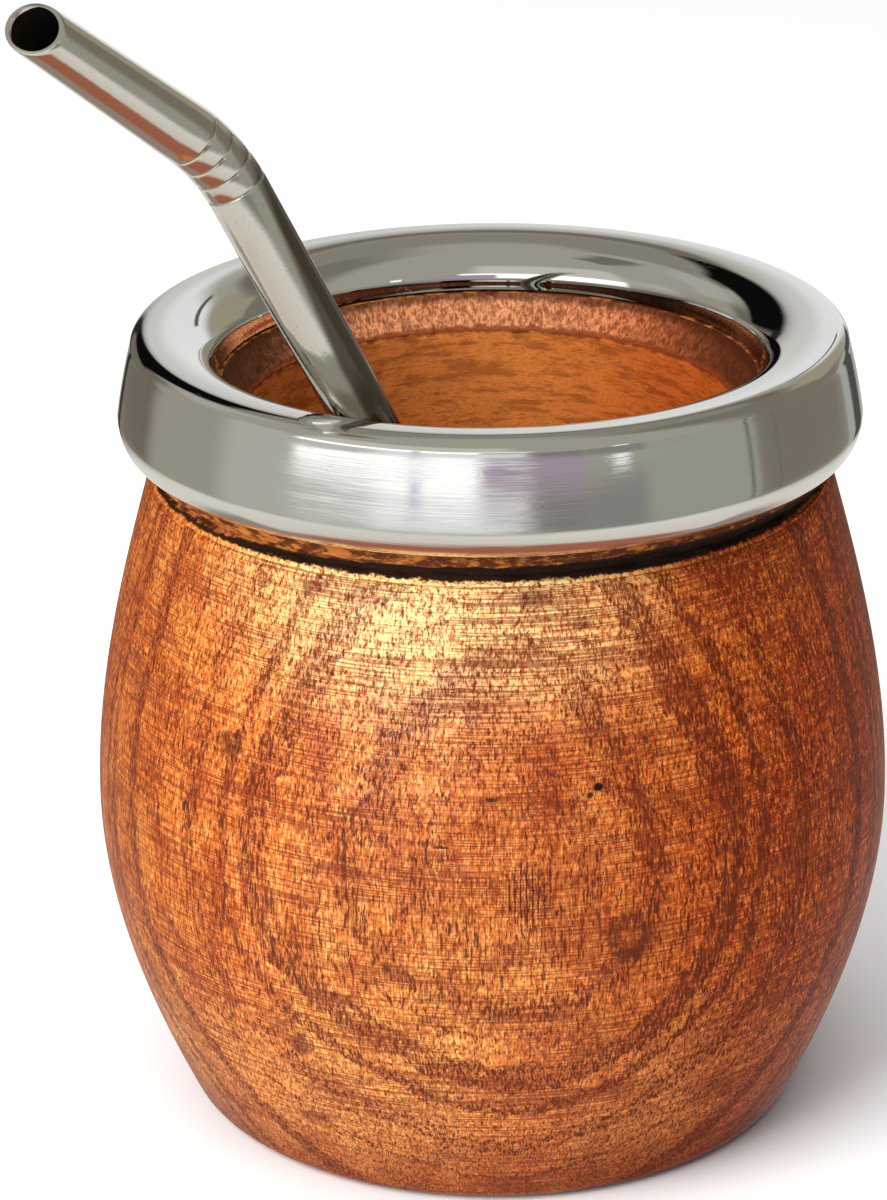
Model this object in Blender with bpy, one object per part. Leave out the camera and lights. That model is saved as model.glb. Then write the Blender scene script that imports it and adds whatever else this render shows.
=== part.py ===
"""Turned wooden mate cup with a spun steel rim and a bent steel drinking straw.

The cup stands on z = 0 with its axis on Z. The front of the cup faces -Y.
Sizes are in millimetres and become metres when a mesh is made.
"""

import math

import bmesh
import bpy
from mathutils import Matrix, Vector

MM = 0.001
GAP = 0.3

# Wooden body: a barrel outline from the foot through the belly to the shoulder
FOOT_FILLET = 2.7
FOOT_R = 31.7
FOOT_SLOPE = 0.47
BELLY_R = 40.0
BELLY_Z = 32.2
SHOULDER_R = 33.8
SHOULDER_Z = 66.3
SHOULDER_SLOPE = 0.285
SHOULDER_ROUND = 0.35

# Burnt groove, and the neck that carries the rim
GROOVE_DEPTH = 1.1
GROOVE_BEVEL = 0.5
NECK_R = 34.2
NECK_Z = 68.1
NECK_TOP_Z = 75.4
NECK_CHAMFER = 0.4

# Mouth and cavity
MOUTH_R = 26.4
LEDGE_Z = 72.4
LEDGE_R = 24.7
LEDGE_STEP = 0.35
CAVITY_R = 25.0
CAVITY_WIDE_Z = 42.0
CAVITY_CORNER = 6.0
FLOOR_Z = 13.0

# Spun rim: the outer face of the sheet, from the rolled lower edge to the inner lip
RIM_SHEET = 0.8
RIM_EDGE_R = 34.6
RIM_EDGE_Z = 69.3
RIM_ROLL_R = 34.8
RIM_WIDE_R = 36.75
RIM_WIDE_Z = 72.25
RIM_TOP_R = 35.3
RIM_TOP_Z = 79.2
RIM_CREST_R = 33.3
RIM_CREST_Z = 80.8
RIM_LIP_R = 26.6
RIM_LIP_Z = 76.1
RIM_LIP_DROP = 0.4

# Straw: a tube that leans on the rim's inner lip and bends towards the drinker
STRAW_R = 2.9
STRAW_WALL = 0.5
STRAW_MOUTH_R = 2.5
STRAW_AT_RIM = Vector((-13.88, -20.55, 81.55))
STRAW_BEND = Vector((-24.76, -25.23, 104.93))
STRAW_MOUTH = Vector((-39.98, -35.85, 119.43))
MOUTH_FACING = Vector((-0.25, -0.75, 0.61))
MOUTH_ROUND = 0.45
KINKS = 4
KINK_PITCH = 2.2
KINK_DEPTH = 0.15
KINK_WIDTH = 0.35

TURNED_SEGMENTS = 72
STRAW_SIDES = 24
SMOOTH_ANGLE = math.radians(32)


def clear_scene():
    for obj in list(bpy.data.objects):
        bpy.data.objects.remove(obj, do_unlink=True)


def material(name, colour, roughness, metallic):
    made = bpy.data.materials.new(name)
    made.use_nodes = True
    shader = made.node_tree.nodes["Principled BSDF"]
    shader.inputs["Base Color"].default_value = (*colour, 1.0)
    shader.inputs["Roughness"].default_value = roughness
    shader.inputs["Metallic"].default_value = metallic
    return made


def arc(centre, radii, start, end, steps):
    """Points of an elliptical arc about centre, in the (radius, height) plane. Angles are in degrees."""
    points = []
    for i in range(steps + 1):
        angle = math.radians(start + (end - start) * i / steps)
        points.append(
            (centre[0] + radii[0] * math.cos(angle), centre[1] + radii[1] * math.sin(angle))
        )
    return points


def hermite(share, span, start, end, start_slope, end_slope):
    """A cubic from start to end over span, with the slope given at each end."""
    t2 = share * share
    t3 = t2 * share
    return (
        (2 * t3 - 3 * t2 + 1) * start
        + (t3 - 2 * t2 + share) * span * start_slope
        + (3 * t2 - 2 * t3) * end
        + (t3 - t2) * span * end_slope
    )


def barrel_side(foot_z, low_steps, high_steps):
    """The body's side from the foot's fillet, through the belly, to the shoulder."""
    low_span = BELLY_Z - foot_z
    high_span = SHOULDER_Z - BELLY_Z
    points = []
    for i in range(1, low_steps + 1):
        share = i / low_steps
        radius = hermite(share, low_span, FOOT_R, BELLY_R, FOOT_SLOPE, 0)
        points.append((radius, foot_z + share * low_span))
    for i in range(1, high_steps + 1):
        share = i / high_steps
        radius = hermite(share, high_span, BELLY_R, SHOULDER_R, 0, -SHOULDER_SLOPE)
        points.append((radius, BELLY_Z + share * high_span))
    return points


def cup_outline():
    """The cup's outline from the centre of its base, round the outside, to the centre of its floor."""
    lean = math.degrees(math.atan(FOOT_SLOPE))
    foot_centre = (FOOT_R - FOOT_FILLET * math.cos(math.radians(lean)), FOOT_FILLET)
    foot = arc(foot_centre, (FOOT_FILLET, FOOT_FILLET), -90, -lean, 4)
    side = barrel_side(foot[-1][1], 9, 9)
    side[-1] = (SHOULDER_R - 0.3 * SHOULDER_ROUND, SHOULDER_Z - SHOULDER_ROUND)
    groove_r = SHOULDER_R - GROOVE_DEPTH
    groove = [
        (SHOULDER_R - SHOULDER_ROUND, SHOULDER_Z),
        (groove_r, SHOULDER_Z + GROOVE_BEVEL),
        (groove_r, NECK_Z - GROOVE_BEVEL),
        (NECK_R, NECK_Z),
    ]
    neck = [
        (NECK_R, NECK_TOP_Z - NECK_CHAMFER),
        (NECK_R - NECK_CHAMFER, NECK_TOP_Z),
        (MOUTH_R, NECK_TOP_Z),
    ]
    wall_r = LEDGE_R - LEDGE_STEP
    ledge = [(LEDGE_R, LEDGE_Z), (wall_r, LEDGE_Z - LEDGE_STEP)]
    wall = []
    for i in range(1, 4):
        share = i / 3
        radius = hermite(share, 1, wall_r, CAVITY_R, 0, 0)
        wall.append((radius, ledge[-1][1] + share * (CAVITY_WIDE_Z - ledge[-1][1])))
    corner_centre = (CAVITY_R - CAVITY_CORNER, FLOOR_Z + CAVITY_CORNER)
    corner = arc(corner_centre, (CAVITY_CORNER, CAVITY_CORNER), 0, -90, 5)
    return [(0, 0), *foot, *side, *groove, *neck, *ledge, *wall, *corner, (0, FLOOR_Z)]


def offset(points, distance):
    """The outline moved to its right-hand side by distance."""
    moved = []
    for i, (radius, height) in enumerate(points):
        before = points[max(i - 1, 0)]
        after = points[min(i + 1, len(points) - 1)]
        run = Vector((after[0] - before[0], after[1] - before[1])).normalized()
        moved.append((radius - run.y * distance, height + run.x * distance))
    return moved


def rim_face():
    """The outer face of the sheet, from its rolled lower edge, over the crest, to the lip in the mouth."""
    roll_radii = (RIM_WIDE_R - RIM_ROLL_R, RIM_WIDE_Z - RIM_EDGE_Z)
    roll = arc((RIM_ROLL_R, RIM_WIDE_Z), roll_radii, -90, 0, 5)
    shoulder_radii = (RIM_TOP_R - RIM_CREST_R, RIM_CREST_Z - RIM_TOP_Z)
    shoulder = arc((RIM_CREST_R, RIM_TOP_Z), shoulder_radii, 0, 90, 5)
    funnel_radii = (RIM_CREST_R - RIM_LIP_R, RIM_CREST_Z - RIM_LIP_Z)
    funnel = arc((RIM_CREST_R, RIM_LIP_Z), funnel_radii, 90, 180, 7)
    start = (RIM_EDGE_R, RIM_EDGE_Z)
    end = (RIM_LIP_R, RIM_LIP_Z - RIM_LIP_DROP)
    return [start, *roll, *shoulder, *funnel[1:], end]


def rim_outline():
    face = rim_face()
    return [*face, *reversed(offset(face, RIM_SHEET))]


def finish_mesh(bm, name, finish):
    """Closes the mesh, faces it outwards and puts it in the scene with smooth rounds."""
    bmesh.ops.remove_doubles(bm, verts=bm.verts, dist=1e-7)
    bmesh.ops.recalc_face_normals(bm, faces=bm.faces)
    mesh = bpy.data.meshes.new(name)
    bm.to_mesh(mesh)
    bm.free()
    mesh.shade_smooth()
    mesh.set_sharp_from_angle(angle=SMOOTH_ANGLE)
    obj = bpy.data.objects.new(name, mesh)
    mesh.materials.append(finish)
    bpy.context.scene.collection.objects.link(obj)
    return obj


def turned(name, outline, closed, finish):
    """A solid of revolution about Z."""
    bm = bmesh.new()
    verts = [bm.verts.new((radius * MM, 0, height * MM)) for radius, height in outline]
    edges = [bm.edges.new(pair) for pair in zip(verts, verts[1:])]
    if closed:
        edges.append(bm.edges.new((verts[-1], verts[0])))
    bmesh.ops.spin(
        bm,
        geom=verts + edges,
        cent=(0, 0, 0),
        axis=(0, 0, 1),
        angle=math.tau,
        steps=TURNED_SEGMENTS,
        use_merge=True,
    )
    return finish_mesh(bm, name, finish)


def straw_route():
    """The straw's stations as (centre, plane normal, outer radius), from its foot to the last kink."""
    low = (STRAW_BEND - STRAW_AT_RIM).normalized()
    high = (STRAW_MOUTH - STRAW_BEND).normalized()
    hinge = low.cross(high).normalized()
    step = low.angle(high) / KINKS
    spread = [math.cos((i - (KINKS - 2) / 2) * step) for i in range(KINKS - 1)]
    tangent = KINK_PITCH * sum(spread) / 2 / math.cos(low.angle(high) / 2)
    tilt_rise = STRAW_R * math.sin(low.angle(Vector((0, 0, 1))))
    foot_z = FLOOR_Z + GAP + tilt_rise
    foot = STRAW_AT_RIM + low * ((foot_z - STRAW_AT_RIM.z) / low.z)
    stations = [(foot, low, STRAW_R)]
    centre = STRAW_BEND - low * tangent
    for i in range(KINKS):
        before = Matrix.Rotation(step * i, 3, hinge) @ low
        after = Matrix.Rotation(step * (i + 1), 3, hinge) @ low
        middle = (before + after).normalized()
        stations.append((centre - before * KINK_WIDTH, before, STRAW_R))
        stations.append((centre, middle, STRAW_R - KINK_DEPTH))
        stations.append((centre + after * KINK_WIDTH, after, STRAW_R))
        centre = centre + after * KINK_PITCH
    return stations, high, hinge


def ring(bm, centre, normal, along, hinge, radius):
    """A ring of points on the tube of that radius, cut by the plane through centre with that normal."""
    side = hinge.cross(along).normalized()
    verts = []
    for i in range(STRAW_SIDES):
        angle = math.tau * i / STRAW_SIDES
        point = (hinge * math.cos(angle) + side * math.sin(angle)) * radius
        point -= along * (point.dot(normal) / along.dot(normal))
        verts.append(bm.verts.new((centre + point) * MM))
    return verts


def straw(finish):
    stations, high, hinge = straw_route()
    facing = MOUTH_FACING.normalized()
    bore = STRAW_MOUTH_R - STRAW_WALL
    bm = bmesh.new()
    outer = [ring(bm, c, n, n, hinge, r) for c, n, r in stations]
    outer.append(ring(bm, STRAW_MOUTH - high * MOUTH_ROUND, facing, high, hinge, STRAW_MOUTH_R))
    lip_r = STRAW_MOUTH_R - 0.3 * STRAW_WALL
    outer.append(ring(bm, STRAW_MOUTH, facing, high, hinge, lip_r))
    inner = [ring(bm, c, n, n, hinge, r - STRAW_WALL) for c, n, r in stations]
    inner.append(ring(bm, STRAW_MOUTH, facing, high, hinge, bore))
    loops = [*outer, *reversed(inner)]
    for near, far in zip(loops, loops[1:] + loops[:1]):
        for i in range(STRAW_SIDES):
            j = (i + 1) % STRAW_SIDES
            bm.faces.new((near[i], near[j], far[j], far[i]))
    return finish_mesh(bm, "straw", finish)


def main():
    clear_scene()
    wood = material("wood", (0.50, 0.19, 0.055), 0.45, 0.0)
    rim_steel = material("rim_steel", (0.72, 0.70, 0.66), 0.12, 1.0)
    straw_steel = material("straw_steel", (0.62, 0.60, 0.55), 0.2, 1.0)
    turned("cup", cup_outline(), False, wood)
    turned("rim", rim_outline(), True, rim_steel)
    straw(straw_steel)


main()
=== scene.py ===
"""Looks of the turned wooden mate cup: fine meshes, procedural finishes, studio light and camera.

The front of the cup faces -Y. Sizes are in millimetres and become metres when a mesh is made.
"""

import math

import bmesh
import bpy
import numpy as np
from mathutils import Matrix, Vector


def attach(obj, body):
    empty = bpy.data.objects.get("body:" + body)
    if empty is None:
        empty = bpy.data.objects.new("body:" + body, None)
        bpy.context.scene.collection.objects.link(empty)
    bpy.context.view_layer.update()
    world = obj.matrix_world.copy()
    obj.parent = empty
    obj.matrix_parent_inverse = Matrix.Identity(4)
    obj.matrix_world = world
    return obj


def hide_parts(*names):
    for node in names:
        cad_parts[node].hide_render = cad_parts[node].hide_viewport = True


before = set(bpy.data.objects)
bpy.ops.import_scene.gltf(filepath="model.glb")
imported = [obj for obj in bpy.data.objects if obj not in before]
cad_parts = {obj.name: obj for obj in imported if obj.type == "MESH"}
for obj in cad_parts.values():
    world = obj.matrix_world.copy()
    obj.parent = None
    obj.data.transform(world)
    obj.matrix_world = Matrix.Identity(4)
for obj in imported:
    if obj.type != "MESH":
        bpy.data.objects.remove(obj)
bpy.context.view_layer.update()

MM = 0.001

# Wooden body, as in the solid
FOOT_FILLET = 2.7
FOOT_R = 31.7
FOOT_SLOPE = 0.47
BELLY_R = 40.0
BELLY_Z = 32.2
SHOULDER_R = 33.8
SHOULDER_Z = 66.3
SHOULDER_SLOPE = 0.285
SHOULDER_ROUND = 0.35
SHOULDER_DRAW = 0.3
GROOVE_DEPTH = 1.1
GROOVE_BEVEL = 0.5
NECK_R = 34.2
NECK_Z = 68.1
NECK_TOP_Z = 75.4
NECK_CHAMFER = 0.4
MOUTH_R = 26.4
LEDGE_Z = 72.4
LEDGE_R = 24.7
LEDGE_STEP = 0.35
CAVITY_R = 25.0
CAVITY_WIDE_Z = 42.0
CAVITY_CORNER = 6.0
FLOOR_Z = 13.0

# Spun rim, as in the solid but for its leaning lip and its unevenness
RIM_SHEET = 0.8
RIM_EDGE_R = 34.6
RIM_EDGE_Z = 69.3
RIM_ROLL_R = 34.8
RIM_WIDE_R = 36.75
RIM_WIDE_Z = 72.25
RIM_TOP_R = 35.3
RIM_TOP_Z = 79.2
RIM_CREST_R = 33.3
RIM_CREST_Z = 80.8
RIM_LIP_R = 26.6
RIM_LIP_Z = 76.1
RIM_LIP_DROP = 0.4
SKIRT_CROWN = 0.1
RIM_UNEVEN = 0.006
UNEVEN_FROM = 0.5
UNEVEN_FADE = 2
CREST_EVEN = 0.3
LIP_START = 150
LIP_LEAN = 0.2

# Straw, as in the solid but for shallower kinks and a rounder mouth
STRAW_R = 2.9
STRAW_WALL = 0.5
STRAW_MOUTH_R = 2.5
STRAW_AT_RIM = Vector((-13.88, -20.55, 81.55))
STRAW_BEND = Vector((-24.76, -25.23, 104.93))
STRAW_MOUTH = Vector((-39.98, -35.85, 119.43))
MOUTH_FACING = Vector((-0.25, -0.75, 0.61))
MOUTH_ROUND = 0.45
MOUTH_INSET = 0.08
KINKS = 4
KINK_PITCH = 2.2
KINK_DEPTH = 0.08
KINK_WIDTH = 0.35
KINK_SHARPNESS = 1.5
KINK_SHARES = (-1, -0.6, -0.25, 0, 0.25, 0.6, 1)
BORE_EDGE = 0.1
BORE_EDGE_DEPTH = 0.2
MOUTH_ROUND_SHARE = 0.3
CUP_FLOOR_GAP = 0.3

# Mesh fineness
CUP_SEGMENTS = 420
RIM_SEGMENTS = 360
STRAW_SIDES = 72
STRAIGHT_STEPS = 24
TAPER_STEPS = 8
MOUTH_STEPS = 5
SKIRT_STEPS = 14
LIP_STEPS = 14
WALL_STEPS = 46
SMOOTH_ANGLE = math.radians(40)

# Camera
VIEW_TILT = math.radians(21.55)
VIEW_ROLL = math.radians(0.61)
VIEW_DISTANCE = 430.0
VIEW_CENTRE = Vector((-4.78, 0.0, 51.38))
PHOTO_LONG_SIDE = 1200
FOCAL_PIXELS = 4270
SENSOR = 36.0

# Wood colours, linear
WOOD_TONES = (
    (0.395, (0.22, 0.035, 0.005)),
    (0.465, (0.52, 0.130, 0.022)),
    (0.520, (0.71, 0.225, 0.038)),
    (0.595, (0.98, 0.480, 0.125)),
)
# Painted highlight: the lacquer's broad highlight at the upper front, as a golden colour
PAINTED_HIGHLIGHT = (1.0, 0.75, 0.31)
FLECK_ORANGE = (0.95, 0.270, 0.045)
# Painted shade at the body's far left edge
PAINTED_EDGE_SHADE = (0.66, 0.53, 0.34)
# Painted shade by the foot
PAINTED_FOOT_SHADE = (0.62, 0.44, 0.38)
# Painted shade on the right-hand side, of the body and of the inside
PAINTED_SHADE_RIGHT = (0.60, 0.235, 0.05)
MIDDLE_SHADE = (0.80, 0.68, 0.70)
# A paler golden tint low on the body
LOW_GOLD_TINT = (0.70, 0.38, 0.17)
WOOD_RED = (1.0, 0.72, 0.62)
RING_BROWN = (0.32, 0.052, 0.010)
TURNED_RED = (0.20, 0.025, 0.006)
PORE_BROWN = (0.09, 0.011, 0.003)
WALL_ORANGE = (0.62, 0.200, 0.042)
WALL_SMUDGE = (0.28, 0.075, 0.018)
COLLAR_PALE = (0.66, 0.27, 0.12)
COLLAR_DARK = (0.24, 0.075, 0.030)
# Painted shade on the collar, under the rim's lip and at both sides
COLLAR_PAINTED_SHADE = (0.055, 0.018, 0.008)
STEP_BROWN = (0.12, 0.020, 0.006)
NECK_BROWN = (0.10, 0.022, 0.005)
NECK_PALE = (0.46, 0.150, 0.030)
BURNT_BLACK = (0.022, 0.009, 0.005)
ASH_GREY = (0.16, 0.12, 0.10)

# Noise grains: stretch per mm in x, y and z, then detail, roughness and, for scratches, distortion
SPECKLE = ((2.6, 2.6, 1.3), 3, 0.7)
FIBRES = ((6.0, 6.0, 0.45), 2, 0.6)
PATCHES = ((0.28, 0.28, 0.12), 2, 0.6)
FLOW = ((0.05, 0.05, 0.025), 2, 0.55)
COARSE_PORES = ((4.6, 4.6, 0.6), 2, 0.6)
FINE_PORES = ((8.5, 8.5, 1.5), 1, 0.5)
TURNED = ((0.10, 0.10, 7.0), 3, 0.7)
TURNED_ZONE = ((0.10, 0.10, 0.22), 2, 0.5)
MARK_FRAY = ((1.8, 1.8, 1.2), 3, 0.7)
RING_EDGE = ((0.9, 0.9, 0.35), 2, 0.65)
GRIT = ((1.5, 1.5, 2.8), 4, 0.75)
SMUDGE = ((0.22, 0.22, 1.1), 4, 0.75)
STEP_FRAY = ((0.8, 0.8, 0.8), 2, 0.6)
COLLAR_STREAKS = ((2.4, 2.4, 0.7), 3, 0.75)
GROOVE_FRAY = ((1.6, 1.6, 1.0), 3, 0.75)
NECK_MOTTLE = ((0.5, 0.5, 1.6), 3, 0.7)
ASH_SPECKS = ((3.5, 3.5, 3.5), 2, 0.6)
SKIRT_LINES = ((0.04, 0.04, 9.0), 3, 0.7)
SKIRT_WEAR = ((0.06, 0.06, 0.5), 3, 0.6)
SCRATCH_LINES = ((0.35, 0.35, 0.9), 1, 0.5, 1.5)
SCRATCH_PLACES = ((0.22, 0.22, 0.22), 2, 0.5)
STRAW_PITS = ((3.0, 3.0, 2.2), 3, 0.7)
STRAW_CLOUD = ((0.35, 0.35, 0.25), 3, 0.6)
# Mottle of the bore's painted near-black shade
BORE_MOTTLE = ((0.8, 0.8, 0.8), 3, 0.6)

# Unless its heading says otherwise, a tuple of two or four numbers below is a range: where a value
# starts and ends, then what is given there, if that isn't 0 and 1. A level is that of a noise.

# Tone of the body, with its painted highlight and painted shade
SPECKLE_SHARE = 0.46
PATCH_SHARE = 0.20
FIBRE_SHARE = 0.34
# Where the painted highlight lies and how strong it is
HIGHLIGHT_HEIGHT = (50.0, 63.0)
HIGHLIGHT_CENTRE = -5.0
HIGHLIGHT_REACH = (8.0, 24.0, 1.0, 0.0)
HIGHLIGHT_GRAIN = (0.36, 0.56)
HIGHLIGHT_STRENGTH = 0.92
# Painted shade on the right-hand side
PAINTED_SHADE_SPAN = (-5.0, 34.0, 0.0, 0.9)
FLECK_LEVEL = (0.50, 0.62, 0.0, 0.7)
# Painted shade at the left edge
LEFT_EDGE_SHADE_SPAN = (-38.5, -20.0, 1.0, 0.0)
MIDDLE_X = -1.82
MIDDLE_Z = 43.08
MIDDLE_WIDTH = 18.18
MIDDLE_HEIGHT = 15.38
MIDDLE_REACH = (0.3, 1.4, 0.8, 0.0)
# A paler golden tint, fading upwards from the foot
LOW_TINT_HEIGHT = (10.0, 30.0, 0.14, 0.0)
# Painted shade by the foot
FOOT_SHADE_HEIGHT = (1.0, 12.0, 1.0, 0.0)
RED_FLOW = (0.42, 0.62, 0.0, 0.45)

# Rings, pores and turning lines of the body
RING_LEVEL = (0.47, 0.62)
RING_STRENGTH = (0.38, 0.62, 0.10, 0.55)
RING_DETAIL = 2.5
RING_ROUGHNESS = 0.6
LONG_PORE_LEVEL = (0.60, 0.66)
LONG_PORES_IN_RINGS = 0.12
LONG_PORES_IN_SHADE = 0.06
SHORT_PORE_LEVEL = (0.63, 0.70, 0.0, 0.85)
SHORT_PORES_IN_RINGS = 0.09
SPLIT_LEVEL = (0.59, 0.64)
PORE_STRENGTH = 0.85
# Fewer pores inside the painted highlight
PORES_IN_HIGHLIGHT = -0.35
TURNED_LEVEL = (0.73, 0.82, 0.0, 0.65)
TURNED_IN_ZONES = 0.45
TURNED_IN_SHADE = 0.03

# Gloss and relief of the wood
WOOD_ROUGHNESS = (0.3, 0.7, 0.30, 0.46)
LACQUER_LEFT = (-36.0, -14.0, 0.1, 0.5)
LACQUER_RIGHT = (-6.0, 24.0, 0.5, 0.0)
PORE_HOLLOW = (0.58, 0.66)
LINE_HOLLOW = (0.50, 0.62)
LINE_SHARE = 0.3
SPECKLE_RELIEF = 0.9
BODY_BUMP = 0.11
NECK_BUMP = 0.12
INSIDE_BUMP = 0.08

# The pith lies behind the cup; rings are counted outwards from it
PITH_BEHIND = 59.4
PITH_LEAN = 0.10
RING_WANDER = 2.4
RING_FRAY = 1.1
RINGS_PER_MM = 0.8

# Stains, knot and cracks on the front: x, z, half width, half height, then strength and colour
KNOT_RED = (0.12, 0.018, 0.006)
MARK_BLACK = (0.012, 0.004, 0.002)
WOOD_MARKS = (
    (12.9, 30.6, 1.2, 1.2, 0.7, KNOT_RED),
    (9.4, 47.3, 0.55, 0.5, 1.0, MARK_BLACK),
    (8.6, 46.6, 0.35, 0.3, 0.9, MARK_BLACK),
    (3.6, 64.9, 2.0, 0.8, 0.6, KNOT_RED),
    (8.0, 62.3, 1.4, 0.6, 0.6, KNOT_RED),
    (-19.0, 18.6, 1.1, 1.6, 0.7, KNOT_RED),
    (-18.2, 9.0, 1.6, 0.9, 0.6, KNOT_RED),
    (-25.3, 48.2, 1.4, 1.5, 0.5, MARK_BLACK),
    (-0.6, 46.6, 0.7, 0.25, 0.9, MARK_BLACK),
    (-5.3, 42.0, 0.9, 0.22, 0.9, MARK_BLACK),
)
MARK_RAGGED = 1.6
MARK_EDGE = (1.35, 1.85)
KNOT = (12.5, 32.2, 1.9, 2.4)
KNOT_ORANGE = (0.40, 0.085, 0.014)
KNOT_RAGGED = 1.7
KNOT_RING_AT = 1.65
KNOT_RING_WIDTH = (0.05, 0.5, 0.8, 0.0)
KNOT_HEART = (1.1, 1.5, 0.5, 0.0)
CRACKS = (2.8, 37.2, 2.6, 4.2)
CRACK_PITCH = 0.55
CRACK_WANDER = 0.4
CRACK_LEVEL = (0.35, 0.85)

# Groove and neck
GROOVE_RAGGED = 0.7
GROOVE_DROP = 0.35
# Painted light and shade: the neck's mottle paler on the left, darker on the right
NECK_PAINTED_LIGHT = (-30.0, 20.0, 0.03, -0.05)
MOTTLE_LEVEL = (0.45, 0.62)
NECK_START = (SHOULDER_Z + 0.1, SHOULDER_Z + 0.4)
BURNT_TOP = (-34.0, 20.0, NECK_Z - 1.5, NECK_Z + 0.3)
BURNT_TOP_EDGE = (-0.1, 0.12, 1.0, 0.0)
BURNT_START = (SHOULDER_Z - 0.12, SHOULDER_Z + 0.08)
ASH_LEVEL = (0.68, 0.76, 0.0, 0.5)

# Inner wall, step and collar
WALL_EVEN = 0.75
WALL_GRIT = (0.50, 0.64, 0.0, 0.75)
WALL_SMEAR = (0.46, 0.62, 0.0, 0.75)
# Painted shade on the right of the inside
INSIDE_PAINTED_SHADE = (2.0, 22.0, 0.0, 0.7)
STEP_RAGGED = 0.8
STREAK_LEVEL = (0.38, 0.64)
# Painted shade on the collar: under the rim's lip and at both sides
SHADE_UNDER_LIP = (NECK_TOP_Z - 0.7, NECK_TOP_Z + 0.1, 0.0, 0.75)
SHADED_COLLAR_ENDS = (12.0, 25.0, 0.0, 0.9)
COLLAR_START = (LEDGE_Z - 0.1, LEDGE_Z + 0.35)
STEP_LINE_Z = LEDGE_Z + 0.05
STEP_LINE_WIDTH = (0.15, 0.5, 0.8, 0.0)

# Relief of the meshes. A grain is how far it spreads over rows and over columns, and its seed.
RAGGED_GRAIN = (1.5, 1.2, 11)
SLOW_GRAIN = (30, 12, 12)
STREAK_GRAIN = (4, 0.8, 13)
PIT_GRAIN = (1.0, 1.0, 14)
SPUN_SLOW = (9, 14, 21)
SPUN_LONG = (20, 40, 22)
EDGE_GAP = 0.05
OUTSIDE_R = MOUTH_R + 0.5
GROOVE_SWAY = 0.10
GROOVE_NIBBLE = 0.07
GROOVE_ROUGH = 0.05
NECK_ROUGH = 0.05
NECK_SWAY = 0.03
COLLAR_CUTS = 0.07
COLLAR_PITS = 0.05
WALL_PITS = 0.03
WALL_SWAY = 0.04
SPUN_SLOW_SHARE = 0.4

# Order of the materials in the cup's mesh, and where the neck's begins
BODY_FACES = 0
NECK_FACES = 1
INSIDE_FACES = 2
NECK_FACES_Z = SHOULDER_Z - 0.55

# Metal colours, linear
STEEL_COLOUR = (0.77, 0.765, 0.74)
# Painted dark reflection on the funnel, just above its lip on the right
PAINTED_DARK_REFLECTION = (0.04, 0.035, 0.03)
STRAW_COLOUR = (0.74, 0.72, 0.67)
STRAW_PIT = (0.34, 0.31, 0.26)
# Painted shade on the straw's right-hand side
STRAW_PAINTED_SHADE = (0.12, 0.085, 0.05)
# Painted shade: the bore near black
BORE_SHADE_BLACK = (0.001, 0.001, 0.001)
BORE_SHADE_BROWN = (0.006, 0.004, 0.003)

# Rim: where its skirt is, how it is brushed, its painted dark reflection and its scratches
POLISH_ROUGHNESS = 0.02
SKIRT_RADIUS = (RIM_TOP_R - 0.35, RIM_TOP_R + 0.1)
SKIRT_HEIGHT = (RIM_TOP_Z - 0.4, RIM_TOP_Z + 0.5, 1.0, 0.0)
SKIRT_ROUGHNESS = (0.3, 0.7, 0.03, 0.10)
BRUSHED_WEAR = (0.35, 0.65, 0.35, 1.0)
BRUSHED_SIDE = (2.0, 20.0, 1.0, 0.2)
# Where the painted dark reflection lies
DARK_REFLECTION_HEIGHT = (RIM_LIP_Z + 0.5, RIM_LIP_Z + 1.6, 1.0, 0.0)
DARK_REFLECTION_SIDE = (10.0, 20.0, 0.0, 0.92)
DARK_REFLECTION_RADIUS = (RIM_CREST_R - 4, RIM_CREST_R - 3, 1.0, 0.0)
SCRATCH_WIDTH = (0.002, 0.007, 1.0, 0.0)
SCRATCH_PATCH = (0.60, 0.66)
SCRATCH_DEPTH = 0.12
RIM_BUMP = 0.012

# Straw: pits, gloss and painted shade on its right-hand side
PIT_LEVEL = (0.60, 0.72, 0.0, 0.35)
STRAW_ROUGHNESS = (0.3, 0.7, 0.07, 0.14)
STRAW_BUMP = 0.008
SHADE_WIDENING_HEIGHT = (84.0, 106.0, 0.55, 0.0)
STRAW_SHADE_LEVEL = (0.78, 0.98, 0.0, 0.85)

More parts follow.
